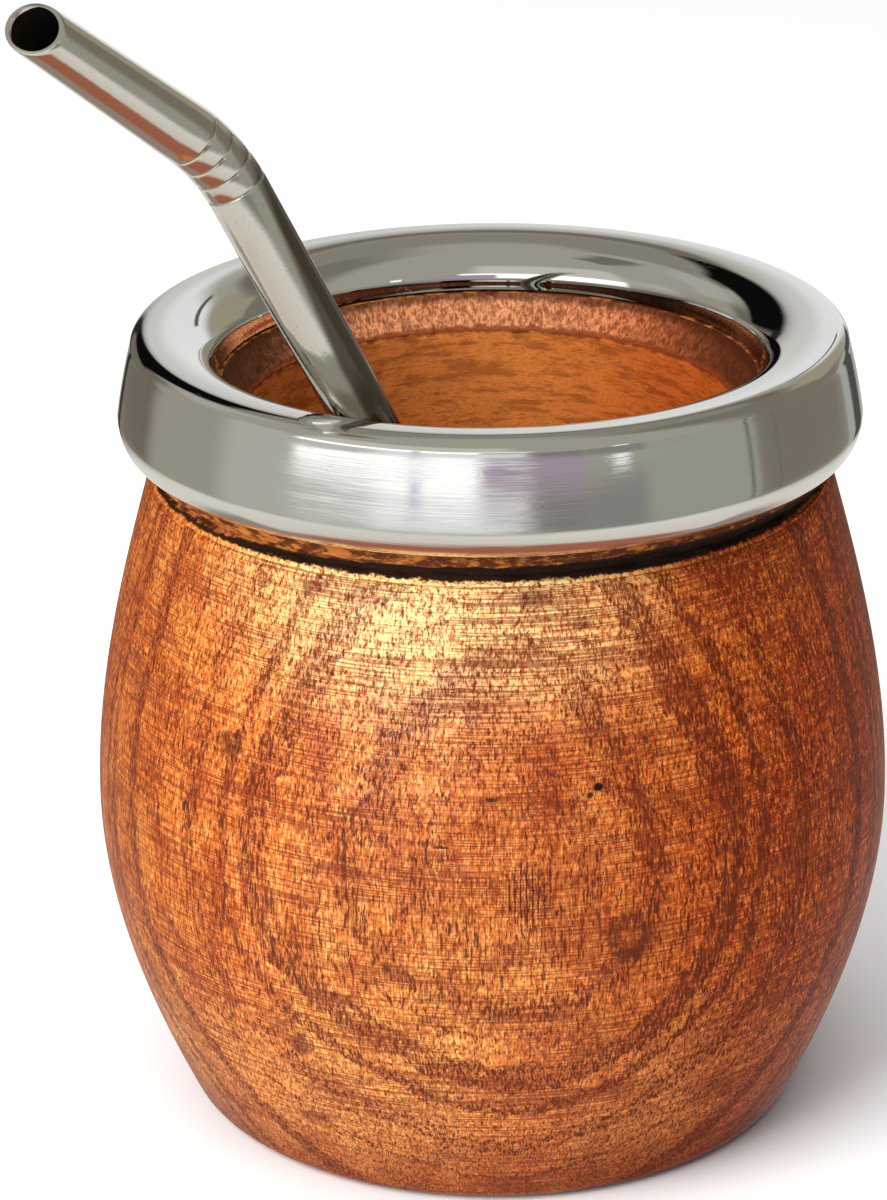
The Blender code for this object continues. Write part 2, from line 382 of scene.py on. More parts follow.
# Studio: radiance by elevation in degrees, then panels by direction.
# Azimuth 0 is the camera's side and 90 the right-hand side.
FLOOR_REACH = 6.0
FLOOR_COLOUR = (0.9, 0.9, 0.9)
AMBIENT_LEFT = (0.39, 0.39, 0.40)
AMBIENT_RIGHT = (0.10, 0.10, 0.10)
ROOM_BY_HEIGHT = (
    (-90, (0.40, 0.14, 0.08)),
    (-58, (0.40, 0.15, 0.09)),
    (-52, (0.74, 0.68, 0.61)),
    (-24, (0.80, 0.80, 0.74)),
    (-16, (0.40, 0.39, 0.33)),
    (20, (0.40, 0.39, 0.33)),
    (45, (0.40, 0.39, 0.34)),
    (90, (0.40, 0.39, 0.33)),
)
ROOM_PANELS = (
    # name, azimuth, half width, lowest, highest, edge, radiance
    ("left_wall", -148, 24, -20, 24, 16, (0.18, 0.155, 0.12)),
    ("left_mid_wall", -104, 20, -20, 24, 14, (0.37, 0.35, 0.29)),
    ("left_pale_wall", -77, 12, -20, 24, 12, (0.50, 0.49, 0.44)),
    ("left_pale_corner", -120, 11, 26, 52, 8, (0.46, 0.45, 0.42)),
    ("ceiling_beam", -94, 20, 59, 70, 5, (0.20, 0.175, 0.13)),
    ("right_wall", 112, 30, -20, 72, 24, (0.22, 0.20, 0.16)),
    ("right_board", 67, 20, -14, 6, 4, (0.36, 0.37, 0.31)),
    ("window_left", -44, 20, -18, 12, 16, (0.60, 0.60, 0.57)),
    ("window_front", -16, 20, -14, 14, 10, (0.86, 0.90, 0.90)),
    ("window_top", -28, 34, 12, 46, 10, (0.62, 0.61, 0.54)),
    ("window_high", -25, 37, 3, 16, 4, (1.50, 1.51, 1.50)),
    ("curtain_edge", -23, 1.5, -10, 12, 2, (0.68, 0.68, 0.80)),
    ("curtain", 12, 16, 3, 12, 3, (0.42, 0.33, 0.42)),
    ("window_low", 4, 6, -8, 3, 2, (0.80, 0.80, 0.79)),
    ("dark_figure", 20, 8, -14, 3, 4, (0.25, 0.235, 0.23)),
    ("dark_shelf", 37, 10, -14, 4, 5, (0.27, 0.265, 0.25)),
    ("small_window", 39.5, 2.5, 6, 11, 1, (1.2, 1.2, 1.2)),
    ("board_edge", 84, 0.8, -14, 6, 0.8, (0.20, 0.20, 0.17)),
    ("board_joint", 96, 0.5, -14, 0, 0.8, (0.18, 0.17, 0.14)),
    ("back_chest", 140, 14, 10, 34, 5, (0.37, 0.34, 0.25)),
    ("back_light", -179, 11, -14, 32, 18, (0.68, 0.68, 0.66)),
    ("back_window", 168, 11, -8, 28, 8, (0.88, 0.89, 0.89)),
    ("chest_edge", 163, 1.2, 16, 30, 1.5, (0.12, 0.11, 0.08)),
    ("table_behind", 180, 80, -80, -42, 10, (0.34, 0.28, 0.24)),
    ("back_ceiling", 180, 50, 45, 70, 10, (0.28, 0.26, 0.22)),
    ("back_beam", 180, 45, 37, 45, 5, (0.19, 0.17, 0.135)),
    ("slot_light", 144, 4, -20, 0, 3, (0.42, 0.42, 0.40)),
    ("slot_dark", 154, 6, -20, 2, 3, (0.08, 0.08, 0.08)),
    ("dark_card", -153, 13, 8, 46, 5, (0.004, 0.004, 0.004)),
    ("dark_edge", -163, 3, -20, 10, 3, (0.02, 0.02, 0.02)),
)
AMBIENT_SPREAD = (-0.7, 0.7)

# Lights: name, azimuth, elevation, size in metres, power in watts
LIGHT_AIM = Vector((0, 0, 0.06))
LIGHT_DISTANCE = 1.2
KEY_LIGHT = ("key", -45, 35, (0.8, 0.8), 18.2)
WINDOW_STREAK = ("window_streak", -28, 9, (0.08, 0.22), 7)
TOP_FILL = ("top_fill", 0, 85, (1.5, 1.5), 15)


def arc(centre, radii, start, end, steps):
    """(radius, height) points of an elliptical arc about centre. Angles are in degrees."""
    points = []
    for i in range(steps + 1):
        angle = math.radians(start + (end - start) * i / steps)
        radius = centre[0] + radii[0] * math.cos(angle)
        points.append((radius, centre[1] + radii[1] * math.sin(angle)))
    return points


def hermite(share, span, start, end, start_slope, end_slope):
    """A cubic from start to end over span, with the slope given at each end."""
    t2 = share * share
    t3 = t2 * share
    return (
        (2 * t3 - 3 * t2 + 1) * start
        + (t3 - 2 * t2 + share) * span * start_slope
        + (3 * t2 - 2 * t3) * end
        + (t3 - t2) * span * end_slope
    )


def line(start, end, steps):
    """Points after start, up to and with end."""
    return [
        tuple(a + (b - a) * i / steps for a, b in zip(start, end)) for i in range(1, steps + 1)
    ]


def grain(shape, row_blur, column_blur, seed):
    """A smooth random field that closes on itself round the columns, with unit spread."""
    rows, columns = shape
    field = np.random.default_rng(seed).normal(size=shape)
    row_waves = np.fft.fftfreq(rows)[:, None] * row_blur
    column_waves = np.fft.fftfreq(columns)[None, :] * column_blur
    soften = np.exp(-2 * np.pi**2 * (row_waves**2 + column_waves**2))
    field = np.fft.ifft2(np.fft.fft2(field) * soften).real
    return field / field.std()


def ring_faces(count, sides, closed):
    """Quads from ring to ring. In a closed row of rings the last one is joined to the first."""
    faces = []
    for i in range(count if closed else count - 1):
        near = i * sides
        far = ((i + 1) % count) * sides
        for j in range(sides):
            k = (j + 1) % sides
            faces.append((near + j, near + k, far + k, far + j))
    return faces


def mesh_object(name, points, faces, finish):
    """A smooth-shaded object from points in millimetres."""
    mesh = bpy.data.meshes.new(name)
    mesh.from_pydata([tuple(p) for p in points * MM], [], faces)
    mesh.update()
    bm = bmesh.new()
    bm.from_mesh(mesh)
    bmesh.ops.recalc_face_normals(bm, faces=bm.faces)
    bm.to_mesh(mesh)
    bm.free()
    mesh.shade_smooth()
    mesh.set_sharp_from_angle(angle=SMOOTH_ANGLE)
    mesh.materials.append(finish)
    obj = bpy.data.objects.new(name, mesh)
    bpy.context.scene.collection.objects.link(obj)
    return obj


def lathe(name, outline, segments, closed, finish, relief):
    """A turned solid. An open outline starts and ends on the axis; relief moves the mesh's grids."""
    rings = outline if closed else outline[1:-1]
    radius = np.array([p[0] for p in rings])[:, None] * np.ones(segments)
    height = np.array([p[1] for p in rings])[:, None] * np.ones(segments)
    angle = np.arange(segments) * math.tau / segments
    radius, height = relief(radius, height)
    points = np.stack([radius * np.sin(angle), -radius * np.cos(angle), height], -1)
    points = points.reshape(-1, 3)
    count = len(rings)
    faces = ring_faces(count, segments, closed)
    if not closed:
        poles = np.array([(0, 0, outline[0][1]), (0, 0, outline[-1][1])])
        points = np.concatenate([points, poles])
        first = count * segments
        last_ring = (count - 1) * segments
        for j in range(segments):
            k = (j + 1) % segments
            faces.append((first, k, j))
            faces.append((first + 1, last_ring + j, last_ring + k))
    return mesh_object(name, points, faces, finish)


def barrel_side(foot_z, low_steps, high_steps):
    """The body's side from the foot's fillet, through the belly, to the shoulder."""
    low_span = BELLY_Z - foot_z
    high_span = SHOULDER_Z - BELLY_Z
    points = []
    for i in range(1, low_steps + 1):
        share = i / low_steps
        radius = hermite(share, low_span, FOOT_R, BELLY_R, FOOT_SLOPE, 0)
        points.append((radius, foot_z + share * low_span))
    for i in range(1, high_steps + 1):
        share = i / high_steps
        radius = hermite(share, high_span, BELLY_R, SHOULDER_R, 0, -SHOULDER_SLOPE)
        points.append((radius, BELLY_Z + share * high_span))
    return points


def cup_outside():
    """The outline from the centre of the base, up the body and neck, to the edge of the mouth."""
    lean = math.atan(FOOT_SLOPE)
    foot_centre = (FOOT_R - FOOT_FILLET * math.cos(lean), FOOT_FILLET)
    base = line((0, 0), (foot_centre[0], 0), steps=4)
    foot = arc(foot_centre, (FOOT_FILLET, FOOT_FILLET), -90, -math.degrees(lean), steps=12)[1:]
    side = barrel_side(foot[-1][1], low_steps=30, high_steps=34)
    side[-1] = (SHOULDER_R - SHOULDER_DRAW * SHOULDER_ROUND, SHOULDER_Z - SHOULDER_ROUND)
    groove_r = SHOULDER_R - GROOVE_DEPTH
    edge = (SHOULDER_R - SHOULDER_ROUND, SHOULDER_Z)
    groove_low = (groove_r, SHOULDER_Z + GROOVE_BEVEL)
    groove_high = (groove_r, NECK_Z - GROOVE_BEVEL)
    neck_low = (NECK_R, NECK_Z)
    neck_high = (NECK_R, NECK_TOP_Z - NECK_CHAMFER)
    neck_top = (NECK_R - NECK_CHAMFER, NECK_TOP_Z)
    groove = [
        *line(side[-1], edge, steps=2),
        *line(edge, groove_low, steps=5),
        *line(groove_low, groove_high, steps=5),
        *line(groove_high, neck_low, steps=5),
    ]
    neck = [
        *line(neck_low, neck_high, steps=12),
        *line(neck_high, neck_top, steps=2),
        *line(neck_top, (MOUTH_R, NECK_TOP_Z), steps=5),
    ]
    return [(0, 0), *base, *foot, *side, *groove, *neck]


def cup_inside(mouth):
    """The outline from the mouth's edge, down collar, ledge and wall, to the centre of the floor."""
    ledge = (LEDGE_R, LEDGE_Z)
    ledge_low = (LEDGE_R - LEDGE_STEP, LEDGE_Z - LEDGE_STEP)
    collar = [*line(mouth, ledge, steps=12), *line(ledge, ledge_low, steps=3)]
    wall = []
    for i in range(1, WALL_STEPS + 1):
        share = i / WALL_STEPS
        radius = hermite(share, 1, ledge_low[0], CAVITY_R, 0, 0)
        wall.append((radius, ledge_low[1] + share * (CAVITY_WIDE_Z - ledge_low[1])))
    corner_centre = (CAVITY_R - CAVITY_CORNER, FLOOR_Z + CAVITY_CORNER)
    low_wall = line(wall[-1], (CAVITY_R, corner_centre[1]), steps=12)
    corner = arc(corner_centre, (CAVITY_CORNER, CAVITY_CORNER), 0, -90, steps=10)[1:]
    floor = line(corner[-1], (0, FLOOR_Z), steps=8)
    return [*collar, *wall, *low_wall, *corner, *floor]


def cup_outline():
    outside = cup_outside()
    return [*outside, *cup_inside(outside[-1])]


def offset(points, distance):
    """The outline moved to its right-hand side by distance."""
    moved = []
    for i, (radius, height) in enumerate(points):
        before = points[max(i - 1, 0)]
        after = points[min(i + 1, len(points) - 1)]
        run = Vector((after[0] - before[0], after[1] - before[1])).normalized()
        moved.append((radius - run.y * distance, height + run.x * distance))
    return moved


def rim_face():
    """The sheet's outer face, from its rolled lower edge, over the crest, to the lip in the mouth."""
    roll_radii = (RIM_WIDE_R - RIM_ROLL_R, RIM_WIDE_Z - RIM_EDGE_Z)
    roll = arc((RIM_ROLL_R, RIM_WIDE_Z), roll_radii, -90, 0, steps=18)
    shoulder_radii = (RIM_TOP_R - RIM_CREST_R, RIM_CREST_Z - RIM_TOP_Z)
    shoulder = arc((RIM_CREST_R, RIM_TOP_Z), shoulder_radii, 0, 90, steps=18)
    skirt = []
    for i in range(1, SKIRT_STEPS):
        share = i / SKIRT_STEPS
        crown = SKIRT_CROWN * 4 * share * (1 - share)
        radius = RIM_WIDE_R + (RIM_TOP_R - RIM_WIDE_R) * share + crown
        skirt.append((radius, RIM_WIDE_Z + (RIM_TOP_Z - RIM_WIDE_Z) * share))
    funnel_radii = (RIM_CREST_R - RIM_LIP_R, RIM_CREST_Z - RIM_LIP_Z)
    funnel = arc((RIM_CREST_R, RIM_LIP_Z), funnel_radii, 90, LIP_START, steps=28)
    start = (RIM_EDGE_R, RIM_EDGE_Z)
    lip_r, lip_z = funnel[-1]
    drop = lip_z - RIM_LIP_Z + RIM_LIP_DROP
    run = Vector(funnel[-1]) - Vector(funnel[-2])
    lip = []
    for i in range(1, LIP_STEPS + 1):
        share = i / LIP_STEPS
        radius = hermite(share, drop, lip_r, RIM_LIP_R, run.x / -run.y, -LIP_LEAN)
        lip.append((radius, lip_z - share * drop))
    return [start, *roll, *skirt, *shoulder, *funnel[1:], *lip]


def rim_outline():
    face = rim_face()
    return [*face, *reversed(offset(face, RIM_SHEET))]


def straw_stations():
    """The straw's stations as (centre, plane normal, outer radius), from its foot to the last kink."""
    low = (STRAW_BEND - STRAW_AT_RIM).normalized()
    high = (STRAW_MOUTH - STRAW_BEND).normalized()
    hinge = low.cross(high).normalized()
    step = low.angle(high) / KINKS
    spread = [math.cos((i - (KINKS - 2) / 2) * step) for i in range(KINKS - 1)]
    tangent = KINK_PITCH * sum(spread) / 2 / math.cos(low.angle(high) / 2)
    tilt_rise = STRAW_R * math.sin(low.angle(Vector((0, 0, 1))))
    foot_z = FLOOR_Z + CUP_FLOOR_GAP + tilt_rise
    foot = STRAW_AT_RIM + low * ((foot_z - STRAW_AT_RIM.z) / low.z)
    centre = STRAW_BEND - low * tangent
    stations = []
    straight_end = centre - low * 2 * KINK_WIDTH
    for i in range(STRAIGHT_STEPS):
        stations.append((foot.lerp(straight_end, i / STRAIGHT_STEPS), low, STRAW_R))
    for i in range(KINKS):
        before = Matrix.Rotation(step * i, 3, hinge) @ low
        after = Matrix.Rotation(step * (i + 1), 3, hinge) @ low
        for share in KINK_SHARES:
            along = before if share < 0 else after
            normal = before.lerp(after, (share + 1) / 2).normalized()
            pinch = KINK_DEPTH * (1 - abs(share)) ** KINK_SHARPNESS
            stations.append((centre + along * share * KINK_WIDTH, normal, STRAW_R - pinch))
        centre = centre + after * KINK_PITCH
    return stations, high, hinge


def tube_ring(centre, normal, along, hinge, radius):
    """A ring of points on the tube of that radius, cut by the plane through centre with that normal."""
    side = hinge.cross(along).normalized()
    points = []
    for i in range(STRAW_SIDES):
        angle = math.tau * i / STRAW_SIDES
        point = (hinge * math.cos(angle) + side * math.sin(angle)) * radius
        point -= along * (point.dot(normal) / along.dot(normal))
        points.append(centre + point)
    return points


def straw_outside(stations, high, hinge):
    """Rings of the outside, from the foot, over the kinks, to the rounded mouth that is cut askew."""
    facing = MOUTH_FACING.normalized()
    last_centre, _, last_r = stations[-1]
    rings = [tube_ring(c, n, n, hinge, r) for c, n, r in stations]
    mouth = STRAW_MOUTH - high * MOUTH_INSET
    run = mouth - high * MOUTH_ROUND
    for i in range(1, TAPER_STEPS + 1):
        share = i / TAPER_STEPS
        centre = last_centre.lerp(run, share)
        normal = high.lerp(facing, share**2).normalized()
        radius = last_r + (STRAW_MOUTH_R - last_r) * share
        rings.append(tube_ring(centre, normal, high, hinge, radius))
    lip_r = STRAW_MOUTH_R - MOUTH_ROUND_SHARE * STRAW_WALL
    for i in range(1, MOUTH_STEPS + 1):
        turn = math.radians(90 * i / MOUTH_STEPS)
        centre = run.lerp(mouth, math.sin(turn))
        radius = lip_r + (STRAW_MOUTH_R - lip_r) * math.cos(turn)
        rings.append(tube_ring(centre, facing, high, hinge, radius))
    return rings


def straw_inside(stations, high, hinge):
    """Rings of the bore, from the foot to the mouth."""
    facing = MOUTH_FACING.normalized()
    mouth = STRAW_MOUTH - high * MOUTH_INSET
    bore = STRAW_MOUTH_R - STRAW_WALL
    rings = [tube_ring(c, n, n, hinge, r - STRAW_WALL) for c, n, r in stations]
    rings.append(tube_ring(mouth - high * BORE_EDGE_DEPTH, facing, high, hinge, bore))
    rings.append(tube_ring(mouth, facing, high, hinge, bore + BORE_EDGE))
    return rings


def straw_tube(finish, inside_finish):
    stations, high, hinge = straw_stations()
    outer = straw_outside(stations, high, hinge)
    inner = straw_inside(stations, high, hinge)
    rings = [*outer, *reversed(inner)]
    points = np.array([tuple(p) for ring in rings for p in ring])
    faces = ring_faces(len(rings), STRAW_SIDES, closed=True)
    tube = mesh_object("straw_tube", points, faces, finish)
    tube.data.materials.append(inside_finish)
    bore_start = (len(outer) + 1) * STRAW_SIDES
    for face in tube.data.polygons:
        if min(face.vertices) >= bore_start:
            face.material_index = 1
    return tube


def cup_relief(radius, height):
    """Roughness of the turned wood: burnt groove, neck, tool-marked collar and inner wall."""
    outside = radius > OUTSIDE_R
    upper = height > LEDGE_Z - LEDGE_STEP - EDGE_GAP
    collar = ~outside & upper & (height < NECK_TOP_Z - EDGE_GAP)
    wall = ~outside & ~upper & (height > FLOOR_Z + 2 * EDGE_GAP)
    groove = outside & (height > SHOULDER_Z - EDGE_GAP) & (height < NECK_Z + EDGE_GAP)
    neck_top = NECK_TOP_Z - NECK_CHAMFER - 2 * EDGE_GAP
    neck = outside & (height > NECK_Z + EDGE_GAP) & (height < neck_top)
    ragged = grain(radius.shape, *RAGGED_GRAIN)
    slow = grain(radius.shape, *SLOW_GRAIN)
    streaks = grain(radius.shape, *STREAK_GRAIN)
    pits = grain(radius.shape, *PIT_GRAIN)
    height = height + np.where(groove, GROOVE_SWAY * slow + GROOVE_NIBBLE * ragged, 0)
    radius = radius + np.where(groove, GROOVE_ROUGH * ragged, 0)
    radius = radius + np.where(neck, NECK_ROUGH * ragged + NECK_SWAY * slow, 0)
    radius = radius + np.where(collar, COLLAR_CUTS * streaks + COLLAR_PITS * pits, 0)
    radius = radius + np.where(wall, WALL_PITS * pits + WALL_SWAY * slow, 0)
    return radius, height


def rim_relief(radius, height):
    """The slight unevenness of a spun sheet, which breaks up its reflections."""
    slow = grain(radius.shape, *SPUN_SLOW)
    long_wave = grain(radius.shape, *SPUN_LONG)
    swell = RIM_UNEVEN * (SPUN_SLOW_SHARE * slow + long_wave)
    rising = np.clip((height - RIM_EDGE_Z - UNEVEN_FROM) / UNEVEN_FADE, 0, 1)
    return radius + swell * rising * (height < RIM_CREST_Z - CREST_EVEN), height


class Nodes:
    """Short calls for a material's or a world's node tree."""

    def __init__(self, tree):
        self.tree = tree

    def add(self, kind, *inputs, **values):
        """A node whose first sockets are fed in order and whose properties are set by name."""
        node = self.tree.nodes.new(kind)
        for name, value in values.items():
            setattr(node, name, value)
        for socket, value in zip(node.inputs, inputs):
            self.feed(socket, value)
        return node

    def link(self, source, target):
        self.tree.links.new(source, target)

    def feed(self, socket, value):
        """Links a socket to another's output, or sets its value. A plain colour gets full alpha."""
        if isinstance(value, bpy.types.NodeSocket):
            self.link(value, socket)
        elif socket.type == "RGBA":
            socket.default_value = (*value, 1)
        else:
            socket.default_value = value

    def math(self, operation, *values):
        return self.add("ShaderNodeMath", *values, operation=operation).outputs[0]

    def times(self, first, second):
        return self.math("MULTIPLY", first, second)

    def weighted(self, value, weight, rest):
        """value times weight, plus rest."""
        return self.math("MULTIPLY_ADD", value, weight, rest)

    def scaled(self, vector, scale):
        return self.add("ShaderNodeVectorMath", vector, scale, operation="MULTIPLY").outputs[0]

    def parts(self, vector):
        return self.add("ShaderNodeSeparateXYZ", vector).outputs

    def noise(self, vector, stretch, detail, roughness, distortion=0.0):
        node = self.add("ShaderNodeTexNoise", self.scaled(vector, stretch))
        self.feed(node.inputs["Scale"], 1.0)
        self.feed(node.inputs["Detail"], detail)
        self.feed(node.inputs["Roughness"], roughness)
        self.feed(node.inputs["Distortion"], distortion)
        return node.outputs["Fac"]

    def between(self, value, low, high, out_low=0.0, out_high=1.0, soft=True):
        """value from low to high, read as out_low to out_high and held outside."""
        node = self.add("ShaderNodeMapRange", value, low, high, out_low, out_high, clamp=True)
        node.interpolation_type = "SMOOTHSTEP" if soft else "LINEAR"
        return node.outputs["Result"]

    def mix(self, share, first, second, blend="MIX"):
        node = self.add("ShaderNodeMix", share, data_type="RGBA", blend_type=blend)
        self.feed(node.inputs[6], first)
        self.feed(node.inputs[7], second)
        return node.outputs[2]

    def ramp(self, value, stops):
        node = self.add("ShaderNodeValToRGB", value)
        elements = node.color_ramp.elements
        while len(elements) < len(stops):
            elements.new(0.5)
        for element, (place, colour) in zip(elements, stops):
            element.position = place
            element.color = (*colour, 1)
        return node.outputs[0]

    def bump(self, height, depth):
        """A normal bent by a height field, whose depth is in millimetres."""
        node = self.add("ShaderNodeBump", 1.0, depth * MM)
        self.link(height, node.inputs["Height"])
        return node.outputs[0]


def new_material(name, **values):
    """A material with a Principled shader, whose plain values are given by socket name."""
    made = bpy.data.materials.new(name)
    made.use_nodes = True
    shader = made.node_tree.nodes["Principled BSDF"]
    for socket, value in values.items():
        shader.inputs[socket.replace("_", " ")].default_value = value
    return made, Nodes(made.node_tree), shader


def object_mm(nodes):
    """Object coordinates in millimetres, and their parts."""
    coordinates = nodes.add("ShaderNodeTexCoord").outputs["Object"]
    vector = nodes.scaled(coordinates, (1 / MM, 1 / MM, 1 / MM))
    return vector, nodes.parts(vector)


def cylinder_radius(nodes, x, y):
    squares = nodes.weighted(x, x, nodes.times(y, y))
    return nodes.math("SQRT", squares)


def oval_distance(nodes, x, z, at_x, at_z, half_width, half_height):
    """0 at the centre of an upright oval and 1 at its edge."""
    across = nodes.math("DIVIDE", nodes.math("SUBTRACT", x, at_x), half_width)
    along = nodes.math("DIVIDE", nodes.math("SUBTRACT", z, at_z), half_height)
    return cylinder_radius(nodes, across, along)


def plain_wood(nodes, vector):
    """The wood's own mottle, as a colour with the noises that it is made of."""
    speckle = nodes.noise(vector, *SPECKLE)
    fibres = nodes.noise(vector, *FIBRES)
    patches = nodes.noise(vector, *PATCHES)
    tone = nodes.times(patches, PATCH_SHARE)
    tone = nodes.weighted(speckle, SPECKLE_SHARE, tone)
    tone = nodes.weighted(fibres, FIBRE_SHARE, tone)
    return nodes.ramp(tone, WOOD_TONES), speckle, fibres


def add_painted_highlight(nodes, colour, x, z, speckle):
    """Painted highlight: golden colour at the front below the groove. Gives the colour and how strong
    it is.
    """
    off_centre = nodes.math("ABSOLUTE", nodes.math("SUBTRACT", x, HIGHLIGHT_CENTRE))
    lit = nodes.between(off_centre, *HIGHLIGHT_REACH)
    highlight = nodes.times(nodes.between(z, *HIGHLIGHT_HEIGHT), lit)
    highlight = nodes.times(highlight, nodes.between(speckle, *HIGHLIGHT_GRAIN))
    return nodes.mix(nodes.times(highlight, HIGHLIGHT_STRENGTH), colour, PAINTED_HIGHLIGHT), highlight


def uneven_tone(nodes, colour, x, z, speckle):
    """Painted shade on the right, at the left edge and by the foot; a darker, redder middle; paler gold
    low.
    """
    painted_shade = nodes.between(x, *PAINTED_SHADE_SPAN)
    colour = nodes.mix(painted_shade, colour, PAINTED_SHADE_RIGHT, "MULTIPLY")
    flecks = nodes.times(painted_shade, nodes.between(speckle, *FLECK_LEVEL))
    colour = nodes.mix(flecks, colour, FLECK_ORANGE)
    colour = nodes.mix(nodes.between(x, *LEFT_EDGE_SHADE_SPAN), colour, PAINTED_EDGE_SHADE, "MULTIPLY")
    away = oval_distance(nodes, x, z, MIDDLE_X, MIDDLE_Z, MIDDLE_WIDTH, MIDDLE_HEIGHT)
    middle = nodes.between(away, *MIDDLE_REACH)
    colour = nodes.mix(middle, colour, MIDDLE_SHADE, "MULTIPLY")
    colour = nodes.mix(nodes.between(z, *LOW_TINT_HEIGHT), colour, LOW_GOLD_TINT)
    return nodes.mix(nodes.between(z, *FOOT_SHADE_HEIGHT), colour, PAINTED_FOOT_SHADE, "MULTIPLY"), painted_shade


def growth_rings(nodes, vector, x, y, z, flow):
    """Uneven rings about a leaning pith behind the cup, which the barrel cuts as tall nested ovals."""
    back = nodes.math("SUBTRACT", y, PITH_BEHIND)
    reach = cylinder_radius(nodes, x, back)
    reach = nodes.weighted(z, PITH_LEAN, reach)
    reach = nodes.weighted(flow, RING_WANDER, reach)
    fray = nodes.noise(vector, *RING_EDGE)
    reach = nodes.weighted(fray, RING_FRAY, reach)
    noise = nodes.add("ShaderNodeTexNoise", noise_dimensions="1D")
    nodes.link(reach, noise.inputs["W"])
    noise.inputs["Scale"].default_value = RINGS_PER_MM
    noise.inputs["Detail"].default_value = RING_DETAIL
    noise.inputs["Roughness"].default_value = RING_ROUGHNESS
    return nodes.between(noise.outputs["Fac"], *RING_LEVEL)


def wood_pores(nodes, vector, coarse, fibres, rings, painted_shade):
    """Short dark dashes along the fibres, crowded where a ring is dark and under the painted shade."""
    level = nodes.weighted(rings, LONG_PORES_IN_RINGS, coarse)
    level = nodes.weighted(painted_shade, LONG_PORES_IN_SHADE, level)
    long_pores = nodes.between(level, *LONG_PORE_LEVEL)
    fine = nodes.noise(vector, *FINE_PORES)
    level = nodes.weighted(rings, SHORT_PORES_IN_RINGS, fine)
    pores = nodes.math("MAXIMUM", long_pores, nodes.between(level, *SHORT_PORE_LEVEL))
    splits = nodes.times(nodes.between(fibres, *SPLIT_LEVEL), painted_shade)
    return nodes.math("MAXIMUM", pores, splits)


def turned_lines(nodes, vector, painted_shade):
    """Fine dark lines round the body, in bands and more under the painted shade. Gives also their
    noise.
    """
    turned = nodes.noise(vector, *TURNED)
    zone = nodes.noise(vector, *TURNED_ZONE)
    level = nodes.weighted(zone, TURNED_IN_ZONES, turned)
    level = nodes.weighted(painted_shade, TURNED_IN_SHADE, level)
    return nodes.between(level, *TURNED_LEVEL), turned


def front_mark(nodes, fray, x, y, z, place, strength):
    """An uneven oval stain or knot on the front of the body."""
    away = nodes.weighted(fray, MARK_RAGGED, oval_distance(nodes, x, z, *place))
    near = nodes.between(away, *MARK_EDGE, strength, 0.0)
    return nodes.times(near, nodes.math("LESS_THAN", y, 0.0))


def knot_ring(nodes, fray, x, y, z):
    """A small knot: a dark uneven ring round an orange heart, on the lower right of the front."""
    away = nodes.weighted(fray, KNOT_RAGGED, oval_distance(nodes, x, z, *KNOT))
    front = nodes.math("LESS_THAN", y, 0.0)
    edge = nodes.math("ABSOLUTE", nodes.math("SUBTRACT", away, KNOT_RING_AT))
    ring = nodes.times(nodes.between(edge, *KNOT_RING_WIDTH), front)
    heart = nodes.times(nodes.between(away, *KNOT_HEART), front)
    return ring, heart


def crack_lines(nodes, fray, x, y, z):
    """A cluster of fine wavy cracks along the fibres near the middle of the front."""
    phase = nodes.weighted(fray, CRACK_WANDER, x)
    wave = nodes.math("SINE", nodes.times(phase, math.tau / CRACK_PITCH))
    near = front_mark(nodes, fray, x, y, z, CRACKS, 1.0)
    return nodes.times(nodes.between(wave, *CRACK_LEVEL), near)


def front_marks(nodes, colour, vector, x, y, z):
    """Stains, the knot and the cracks, over the wood's colour."""
    fray = nodes.noise(vector, *MARK_FRAY)
    for *place, strength, tone in WOOD_MARKS:
        colour = nodes.mix(front_mark(nodes, fray, x, y, z, place, strength), colour, tone)
    knot, heart = knot_ring(nodes, fray, x, y, z)
    colour = nodes.mix(heart, colour, KNOT_ORANGE)
    colour = nodes.mix(knot, colour, KNOT_RED)
    return nodes.mix(crack_lines(nodes, fray, x, y, z), colour, PORE_BROWN)


def satin_relief(nodes, shader, x, speckle, coarse, turned):
    """The lacquer's gloss, and the relief of pores and turning lines in it."""
    nodes.link(nodes.between(speckle, *WOOD_ROUGHNESS), shader.inputs["Roughness"])
    left = nodes.between(x, *LACQUER_LEFT)
    lacquered = nodes.math("MINIMUM", left, nodes.between(x, *LACQUER_RIGHT))
    nodes.link(lacquered, shader.inputs["Coat Weight"])
    hollow = nodes.between(coarse, *PORE_HOLLOW)
    lines = nodes.between(turned, *LINE_HOLLOW)
    hollow = nodes.weighted(lines, LINE_SHARE, hollow)
    hollow = nodes.weighted(speckle, SPECKLE_RELIEF, hollow)
    normal = nodes.bump(nodes.math("SUBTRACT", 1.0, hollow), BODY_BUMP)
    nodes.link(normal, shader.inputs["Normal"])
    nodes.link(normal, shader.inputs["Coat Normal"])


